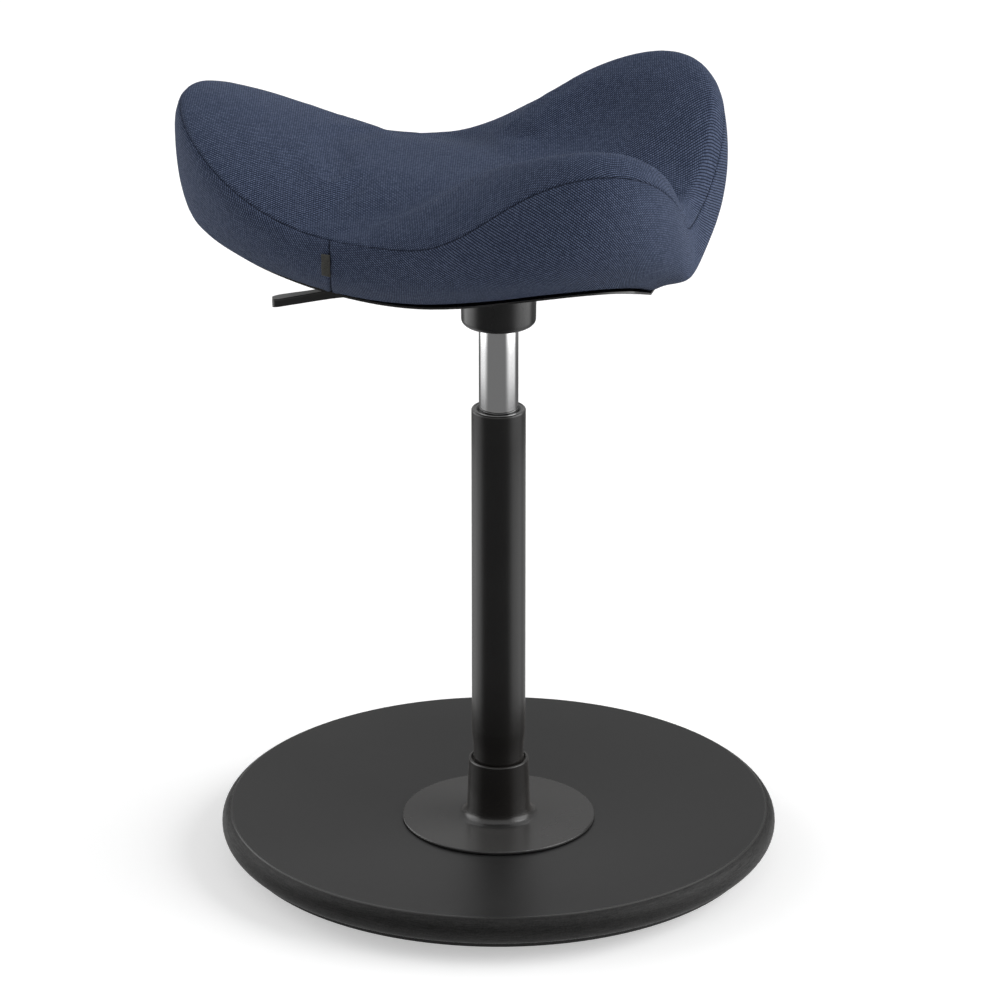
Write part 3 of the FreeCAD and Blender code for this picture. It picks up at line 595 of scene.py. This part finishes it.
def woven_navy():
    """Twill: diagonal ridges of short pale floats, the crevices between them painted near black as
    painted shade, and the seams darkened, partly dark thread and partly painted shade.
    """
    made, tree, shader, _ = new_material("woven_navy", Metallic=0.0)
    shader.inputs["Specular IOR Level"].default_value = 0.12
    shader.inputs["Sheen Weight"].default_value = 0.05
    shader.inputs["Sheen Roughness"].default_value = 0.5
    shader.inputs["Sheen Tint"].default_value = (0.40, 0.52, 0.80, 1)
    cloth = put(tree, "ShaderNodeAttribute", attribute_name="cloth").outputs["Vector"]
    turned = put(tree, "ShaderNodeVectorRotate", {"Vector": cloth, "Angle": math.radians(45)},
                 rotation_type="Z_AXIS").outputs[0]
    wobble = put(tree, "ShaderNodeTexNoise", {"Vector": cloth, "Scale": 170.0, "Detail": 1.0})
    shift = put(tree, "ShaderNodeVectorMath", {0: wobble.outputs["Color"], 1: (0.5, 0.5, 0.5)},
                operation="SUBTRACT").outputs[0]
    shift = put(tree, "ShaderNodeVectorMath", {0: shift, "Scale": yarn_pitch * yarn_wobble},
                operation="SCALE").outputs[0]
    moved = put(tree, "ShaderNodeVectorMath", {0: turned, 1: shift}, operation="ADD").outputs[0]
    parts = put(tree, "ShaderNodeSeparateXYZ", {0: moved}).outputs
    row = calc(tree, "FLOOR", calc(tree, "DIVIDE", parts[1], yarn_pitch))
    ridge = calc(tree, "SINE", calc(tree, "MULTIPLY", parts[1], math.pi / yarn_pitch))
    along_row = calc(tree, "ADD", calc(tree, "DIVIDE", parts[0], yarn_pitch * float_length),
                     calc(tree, "MULTIPLY", row, 0.5))
    floats = calc(tree, "SINE", calc(tree, "MULTIPLY", along_row, math.pi))
    top = calc(tree, "POWER", calc(tree, "ABSOLUTE", ridge), 0.8)
    ends = calc(tree, "POWER", calc(tree, "ABSOLUTE", floats), 0.5)
    yarn = calc(tree, "MULTIPLY", top, calc(tree, "MULTIPLY_ADD", ends, 0.8, 0.2))
    cell = put(tree, "ShaderNodeCombineXYZ",
               {0: calc(tree, "FLOOR", along_row), 1: row, 2: 0.0}).outputs[0]
    fleck = put(tree, "ShaderNodeTexWhiteNoise", {"Vector": cell}).outputs["Value"]
    tone = ramp(tree, noise(tree, cloth, 60.0, 4.0, 0.6), 0.3, 0.7)
    thread = mixed(tree, fleck, (0.069, 0.093, 0.164, 1), (0.120, 0.154, 0.254, 1))
    thread = mixed(tree, calc(tree, "MULTIPLY", tone, 0.2), thread, (0.036, 0.052, 0.105, 1))
    # The low places between the yarns are painted near black: painted shade in the crevices
    thread_with_painted_shade = mixed(tree, ramp(tree, yarn, 0.20, 0.85), (0.002, 0.003, 0.008, 1), thread)
    # Along the seams the colour is darkened: partly the dark thread, partly painted shade in the
    # groove
    seam = put(tree, "ShaderNodeAttribute", attribute_name="seam").outputs["Fac"]
    colour = mixed(tree, calc(tree, "MULTIPLY", seam, 0.6), thread_with_painted_shade, (0.008, 0.010, 0.020, 1))
    link(tree, colour, shader, "Base Color")
    link(tree, ramp(tree, yarn, 0.0, 1.0, 0.95, 0.75), shader, "Roughness")
    fuzz = bumped(tree, noise(tree, cloth, 1500.0, 2.0), 0.00015, 0.5)
    link(tree, bumped(tree, yarn, 0.0007, 0.9, fuzz), shader, "Normal")
    return made


def tag_cloth():
    """Plain dark tape with nothing on it."""
    made, tree, shader, place = new_material("tag_cloth", Metallic=0.0)
    shader.inputs["Specular IOR Level"].default_value = 0.3
    grain = noise(tree, stretched(tree, place, (900.0, 900.0, 3000.0)), 1.0, 2.0)
    link(tree, mixed(tree, ramp(tree, grain, 0.3, 0.7), (0.018, 0.018, 0.016, 1),
                     (0.075, 0.074, 0.064, 1)), shader, "Base Color")
    link(tree, ramp(tree, grain, 0.2, 0.8, 0.6, 0.8), shader, "Roughness")
    link(tree, bumped(tree, grain, 0.0002, 0.6), shader, "Normal")
    return made


def near(tree, value, middle, reach):
    """1 where the value is the middle one, 0 from the reach on."""
    off = calc(tree, "ABSOLUTE", calc(tree, "SUBTRACT", value, middle))
    return ramp(tree, off, reach / 2, reach, 1.0, 0.0)


def stained_disc():
    """Stained laminate: smooth and satin on top, end grain in fine streaks round the rim, its top
    and low edge lines painted paler as a painted highlight.
    """
    made, tree, shader, place = new_material("stained_disc", Metallic=0.0)
    shader.inputs["Specular IOR Level"].default_value = 0.5
    parts = put(tree, "ShaderNodeSeparateXYZ", {0: place}).outputs
    radius = calc(tree, "SQRT", calc(tree, "ADD", calc(tree, "MULTIPLY", parts[0], parts[0]),
                                     calc(tree, "MULTIPLY", parts[1], parts[1])))
    rim = ramp(tree, radius, rim_from, rim_to)
    # The top edge line and the low edge line are painted paler, a painted highlight, and are also
    # made glossier
    edge_lines_painted_highlight = calc(tree, "MAXIMUM", near(tree, radius, top_edge_radius, 0.0013),
                near(tree, parts[2], low_edge_height, 0.0011))
    streak = noise(tree, stretched(tree, place, (90.0, 90.0, 1400.0)), 1.0, 4.0, 0.65)
    speck = noise(tree, stretched(tree, place, (700.0, 700.0, 1500.0)), 1.0, 2.0, 0.6)
    grain = calc(tree, "MULTIPLY_ADD", speck, 0.45, calc(tree, "MULTIPLY", streak, 0.55))
    edge = mixed(tree, ramp(tree, grain, 0.38, 0.62), (0.004, 0.004, 0.004, 1),
                 (0.022, 0.0215, 0.021, 1))
    cloud = noise(tree, place, 9.0, 4.0, 0.55)
    pore = noise(tree, place, 900.0, 2.0, 0.6)
    top = mixed(tree, ramp(tree, cloud, 0.3, 0.7), (0.0115, 0.0115, 0.0115, 1),
                (0.0140, 0.0140, 0.0140, 1))
    top = mixed(tree, ramp(tree, pore, 0.60, 0.75, 0.0, 0.25), top, (0.024, 0.024, 0.024, 1))
    both = mixed(tree, edge_lines_painted_highlight, mixed(tree, rim, top, edge), (0.030, 0.030, 0.029, 1))
    link(tree, both, shader, "Base Color")
    shine = blended(tree, calc(tree, "SUBTRACT", rim, edge_lines_painted_highlight), 0.5, 0.2)
    link(tree, shine, shader, "Specular IOR Level")
    rough_top = ramp(tree, cloud, 0.3, 0.7, 0.32, 0.37)
    rough_edge = ramp(tree, grain, 0.35, 0.65, 0.62, 0.45)
    rough = blended(tree, rim, rough_top, rough_edge)
    link(tree, blended(tree, edge_lines_painted_highlight, rough, 0.2), shader, "Roughness")
    height = blended(tree, rim, calc(tree, "MULTIPLY", pore, 0.25), grain)
    link(tree, bumped(tree, height, 0.00022, 0.7), shader, "Normal")
    return made


def powder_coat():
    """Satin black powder coat with a fine orange peel, its flat flange painted paler grey as a
    painted reflection.
    """
    made, tree, shader, place = new_material("powder_coat", Metallic=0.0)
    shader.inputs["Specular IOR Level"].default_value = 0.55
    shader.inputs["Sheen Weight"].default_value = 0.24
    shader.inputs["Sheen Roughness"].default_value = 0.35
    shader.inputs["Sheen Tint"].default_value = (0.9, 0.86, 0.82, 1)
    peel = noise(tree, place, 520.0, 2.0, 0.5)
    cloud = noise(tree, place, 14.0, 3.0, 0.5)
    height = put(tree, "ShaderNodeSeparateXYZ", {0: place}).outputs[2]
    flat = ramp(tree, height, flange_top, collar_from, 1.0, 0.0)
    warm = ramp(tree, height, 0.05, 0.20, 1.0, 0.0)
    black = mixed(tree, ramp(tree, cloud, 0.3, 0.7), (0.0055, 0.0053, 0.0051, 1),
                  (0.0080, 0.0077, 0.0075, 1))
    black = mixed(tree, warm, black, (0.0090, 0.0076, 0.0066, 1))
    # The flat flange is painted paler grey: a painted reflection of the light it catches
    flange_painted_reflection = mixed(tree, ramp(tree, cloud, 0.3, 0.7), (0.019, 0.019, 0.019, 1),
                  (0.025, 0.025, 0.025, 1))
    link(tree, mixed(tree, flat, black, flange_painted_reflection), shader, "Base Color")
    link(tree, ramp(tree, cloud, 0.3, 0.7, 0.22, 0.28), shader, "Roughness")
    link(tree, bumped(tree, peel, 0.00006, 0.5), shader, "Normal")
    return made


def chrome_plate():
    """Ground and plated steel, its grinding marks round the axis barely to be seen."""
    made, tree, shader, place = new_material("chrome_plate", Metallic=1.0)
    shader.inputs["Base Color"].default_value = (0.88, 0.88, 0.885, 1)
    ground = noise(tree, stretched(tree, place, (160.0, 160.0, 2600.0)), 1.0, 3.0, 0.6)
    smear = noise(tree, place, 26.0, 3.0, 0.5)
    rough = calc(tree, "ADD", ramp(tree, ground, 0.3, 0.7, 0.05, 0.09),
                 ramp(tree, smear, 0.4, 0.7, 0.0, 0.03))
    link(tree, rough, shader, "Roughness")
    link(tree, bumped(tree, ground, 0.00001, 0.5), shader, "Normal")
    return made


def moulded_black():
    """Spark-eroded moulded plastic."""
    made, tree, shader, place = new_material("moulded_black", Metallic=0.0)
    shader.inputs["Specular IOR Level"].default_value = 0.5
    grain = noise(tree, place, 1300.0, 2.0, 0.6)
    cloud = noise(tree, place, 22.0, 2.0, 0.5)
    link(tree, mixed(tree, ramp(tree, cloud, 0.3, 0.7), (0.0050, 0.0050, 0.0050, 1),
                     (0.0080, 0.0080, 0.0080, 1)), shader, "Base Color")
    link(tree, ramp(tree, cloud, 0.3, 0.7, 0.22, 0.30), shader, "Roughness")
    link(tree, bumped(tree, grain, 0.00006, 0.6), shader, "Normal")
    return made


def handle_plastic():
    """The same plastic, finely matted, its upward faces painted pale grey as a painted reflection.
    """
    made, tree, shader, place = new_material("handle_plastic", Metallic=0.0)
    grain = noise(tree, place, 1100.0, 2.0, 0.6)
    facing = tree.nodes.new("ShaderNodeTexCoord").outputs["Normal"]
    upward = ramp(tree, put(tree, "ShaderNodeSeparateXYZ", {0: facing}).outputs[2], 0.75, 0.95)
    # Upward faces get a pale grey colour: a painted reflection of the light above
    handle_painted_reflection = mixed(tree, ramp(tree, grain, 0.3, 0.7), (0.16, 0.16, 0.16, 1),
                 (0.22, 0.22, 0.22, 1))
    link(tree, mixed(tree, upward, (0.0055, 0.0055, 0.0055, 1), handle_painted_reflection), shader, "Base Color")
    link(tree, ramp(tree, grain, 0.3, 0.7, 0.30, 0.42), shader, "Roughness")
    link(tree, bumped(tree, grain, 0.00008, 0.6), shader, "Normal")
    return made


def matt_rubber():
    """Dull black sheet rubber."""
    made, tree, shader, place = new_material("matt_rubber", Metallic=0.0)
    shader.inputs["Specular IOR Level"].default_value = 0.35
    grain = noise(tree, place, 700.0, 3.0, 0.6)
    link(tree, mixed(tree, ramp(tree, grain, 0.3, 0.7), (0.010, 0.010, 0.010, 1),
                     (0.020, 0.020, 0.020, 1)), shader, "Base Color")
    link(tree, ramp(tree, grain, 0.3, 0.7, 0.65, 0.8), shader, "Roughness")
    link(tree, bumped(tree, grain, 0.00015, 0.6), shader, "Normal")
    return made


def machined(name, colour, rough_low, rough_high):
    """Turned or plated metal with fine tool marks round its axis."""
    made, tree, shader, place = new_material(name, Metallic=1.0)
    marks = noise(tree, stretched(tree, place, (300.0, 300.0, 3500.0)), 1.0, 3.0, 0.6)
    darker = tuple(0.8 * c for c in colour) + (1,)
    link(tree, mixed(tree, ramp(tree, marks, 0.3, 0.7), darker, tuple(colour) + (1,)),
         shader, "Base Color")
    link(tree, ramp(tree, marks, 0.3, 0.7, rough_low, rough_high), shader, "Roughness")
    link(tree, bumped(tree, marks, 0.00003, 0.5), shader, "Normal")
    return made


def dress_frame():
    """CAD nodes whose material slot has a finish here get that finish; the others are left as
    imported.
    """
    finishes = {
        "black_wood": stained_disc(),
        "black_rubber": matt_rubber(),
        "black_steel": powder_coat(),
        "black_plastic": moulded_black(),
        "chrome": chrome_plate(),
        "zinc_steel": machined("zinc_plate", (0.55, 0.56, 0.58), 0.28, 0.42),
        "brass": machined("brass_turned", (0.72, 0.56, 0.30), 0.22, 0.36),
        "aluminium": machined("aluminium_turned", (0.72, 0.73, 0.74), 0.25, 0.40),
    }
    grip = handle_plastic()
    for row in frame["record"]["subparts"]:
        finish = grip if row["node"] == "lever_handle" else finishes.get(row["material_slot"])
        if finish is None:
            continue
        node = frame["nodes"][row["node"]]
        if not node.material_slots:
            node.data.materials.append(finish)
        for slot in node.material_slots:
            slot.material = finish


# Stage: floor, cards that shape the reflections, lamps, world and camera

def white_for_seen_rays(tree):
    """1 for camera, glossy and transmission rays, else 0."""
    path = tree.nodes.new("ShaderNodeLightPath").outputs
    seen = calc(tree, "MAXIMUM", path["Is Camera Ray"], path["Is Glossy Ray"])
    return calc(tree, "MAXIMUM", seen, path["Is Transmission Ray"])


def add_floor():
    """Pale floor that shines a little, so that it meets the white background."""
    mesh = bpy.data.meshes.new("floor")
    corners = ((-1, -1), (1, -1), (1, 1), (-1, 1))
    mesh.from_pydata([(floor_reach * x, floor_reach * y, -floor_gap) for x, y in corners],
                     [], [(0, 1, 2, 3)])
    floor = bpy.data.objects.new("floor", mesh)
    bpy.context.scene.collection.objects.link(floor)
    made = bpy.data.materials.new("floor_white")
    made.use_nodes = True
    tree = made.node_tree
    tree.nodes.clear()
    seen = white_for_seen_rays(tree)
    matt = put(tree, "ShaderNodeBsdfDiffuse",
               {"Color": mixed(tree, seen, (0.75, 0.75, 0.75, 1), (0.80, 0.80, 0.80, 1))})
    glow = put(tree, "ShaderNodeEmission",
               {"Color": white, "Strength": calc(tree, "MULTIPLY", seen, 0.43)})
    both = put(tree, "ShaderNodeAddShader", {0: matt.outputs[0], 1: glow.outputs[0]})
    clear = put(tree, "ShaderNodeBsdfTransparent")
    back = tree.nodes.new("ShaderNodeNewGeometry").outputs["Backfacing"]
    pick = put(tree, "ShaderNodeMixShader", {0: back, 1: both.outputs[0], 2: clear.outputs[0]})
    put(tree, "ShaderNodeOutputMaterial", {"Surface": pick.outputs[0]})
    mesh.materials.append(made)


def sector(tree, place, azimuth, spread, soft):
    """1 inside a sector round the stool, fading to 0 at its edges. Azimuths from the camera's."""
    middle = camera_turn + math.radians(azimuth)
    ahead = put(tree, "ShaderNodeVectorMath",
                {0: place, 1: (math.cos(middle), math.sin(middle), 0)}, operation="DOT_PRODUCT")
    across = put(tree, "ShaderNodeVectorMath",
                 {0: place, 1: (-math.sin(middle), math.cos(middle), 0)}, operation="DOT_PRODUCT")
    turn = calc(tree, "ABSOLUTE", calc(tree, "ARCTAN2", across.outputs["Value"],
                                       ahead.outputs["Value"]))
    return put(tree, "ShaderNodeMapRange",
               {0: turn, 1: math.radians(spread - soft), 2: math.radians(spread), 3: 1.0, 4: 0.0},
               interpolation_type="SMOOTHSTEP").outputs[0]


def by_height(tree, height, levels):
    """Level that runs through the (height, level) pairs."""
    level = levels[0][1]
    for (low, first), (high, second) in zip(levels, levels[1:]):
        level = calc(tree, "ADD", level, ramp(tree, height, low, high, 0.0, second - first))
    return level


def add_surround():
    """Grey cards before and behind the stool, softboxes at its sides, seen only in reflections."""
    turns = [2 * math.pi * k / surround_steps for k in range(surround_steps)]
    verts = [(r * math.cos(t), r * math.sin(t), z) for t in turns for r, z in surround_outline]
    count = len(surround_outline)
    faces = []
    for k in range(surround_steps):
        here, after = count * k, count * ((k + 1) % surround_steps)
        faces += [(here + i, after + i, after + i + 1, here + i + 1) for i in range(count - 1)]
    mesh = bpy.data.meshes.new("surround")
    mesh.from_pydata(verts, [], faces)
    card = bpy.data.objects.new("surround", mesh)
    bpy.context.scene.collection.objects.link(card)
    made = bpy.data.materials.new("surround")
    made.use_nodes = True
    tree = made.node_tree
    tree.nodes.clear()
    place = tree.nodes.new("ShaderNodeTexCoord").outputs["Object"]
    height = put(tree, "ShaderNodeSeparateXYZ", {0: place}).outputs[2]
    sides = by_height(tree, height, ((0.085, 1.2), (0.095, 0.22), (0.125, 0.22), (0.165, 0.9),
                                     (0.190, 0.95), (0.215, 3.0), (0.5, 3.0), (0.6, 1.0)))
    front = by_height(tree, height, ((0.35, 0.165), (0.5, 1.0)))
    back = by_height(tree, height, ((0.075, 0.5), (0.095, 0.12), (0.175, 0.12), (0.25, 0.28),
                                    (0.35, 0.42)))
    level = blended(tree, sector(tree, place, -12, 82, 34), sides, front)
    level = blended(tree, sector(tree, place, 171.5, 70.5, 20), level, back)
    glow = put(tree, "ShaderNodeEmission", {"Color": white, "Strength": level})
    put(tree, "ShaderNodeOutputMaterial", {"Surface": glow.outputs[0]})
    mesh.materials.append(made)
    for ray in ("camera", "diffuse", "shadow", "transmission"):
        setattr(card, "visible_" + ray, False)


def add_sun(name, azimuth, elevation, strength, size):
    """Soft distant lamp. Azimuth is from the camera's, positive towards the picture's right."""
    data = bpy.data.lights.new(name, "SUN")
    data.energy = strength
    data.angle = math.radians(size)
    lamp = bpy.data.objects.new(name, data)
    turn = camera_turn + math.radians(azimuth)
    rise = math.radians(elevation)
    lamp.rotation_euler = (math.pi / 2 - rise, 0, turn + math.pi / 2)
    bpy.context.scene.collection.objects.link(lamp)


def add_world(ambient):
    """Even light of that level on matt surfaces, white where the camera or a reflection sees it."""
    world = bpy.data.worlds.new("studio")
    world.use_nodes = True
    tree = world.node_tree
    tree.nodes.clear()
    seen = white_for_seen_rays(tree)
    level = blended(tree, seen, ambient, 1.0)
    sky = put(tree, "ShaderNodeBackground", {"Color": white, "Strength": level})
    put(tree, "ShaderNodeOutputWorld", {"Surface": sky.outputs[0]})
    bpy.context.scene.world = world


def add_camera():
    data = bpy.data.cameras.new("camera")
    data.sensor_width = 36.0
    data.lens = camera_lens
    data.shift_x = camera_shift
    data.clip_start = 0.1
    data.clip_end = 200.0
    camera = bpy.data.objects.new("camera", data)
    camera.location = (camera_distance * math.cos(camera_turn),
                       camera_distance * math.sin(camera_turn), camera_height)
    camera.rotation_euler = (math.pi / 2 - camera_pitch, 0, math.pi / 2 + camera_turn)
    bpy.context.scene.collection.objects.link(camera)
    bpy.context.scene.camera = camera


def add_stage():
    add_floor()
    add_world(ambient=0.40)
    add_sun("right_box", azimuth=88, elevation=22, strength=2.75, size=60)
    add_sun("left_box", azimuth=-105, elevation=22, strength=0.95, size=60)
    add_surround()
    add_camera()
    bpy.context.scene.view_settings.view_transform = "Standard"


def seat():
    """Cover and tag, both riding on the seat."""
    cover, points, normals, form, azimuth = seat_cushion()
    cover.data.materials.append(woven_navy())
    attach(cover, "seat")
    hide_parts("seat_cushion")
    tag = seam_tag(points, normals, form, azimuth)
    tag.data.materials.append(tag_cloth())
    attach(tag, "seat")


dress_frame()
seat()
add_stage()
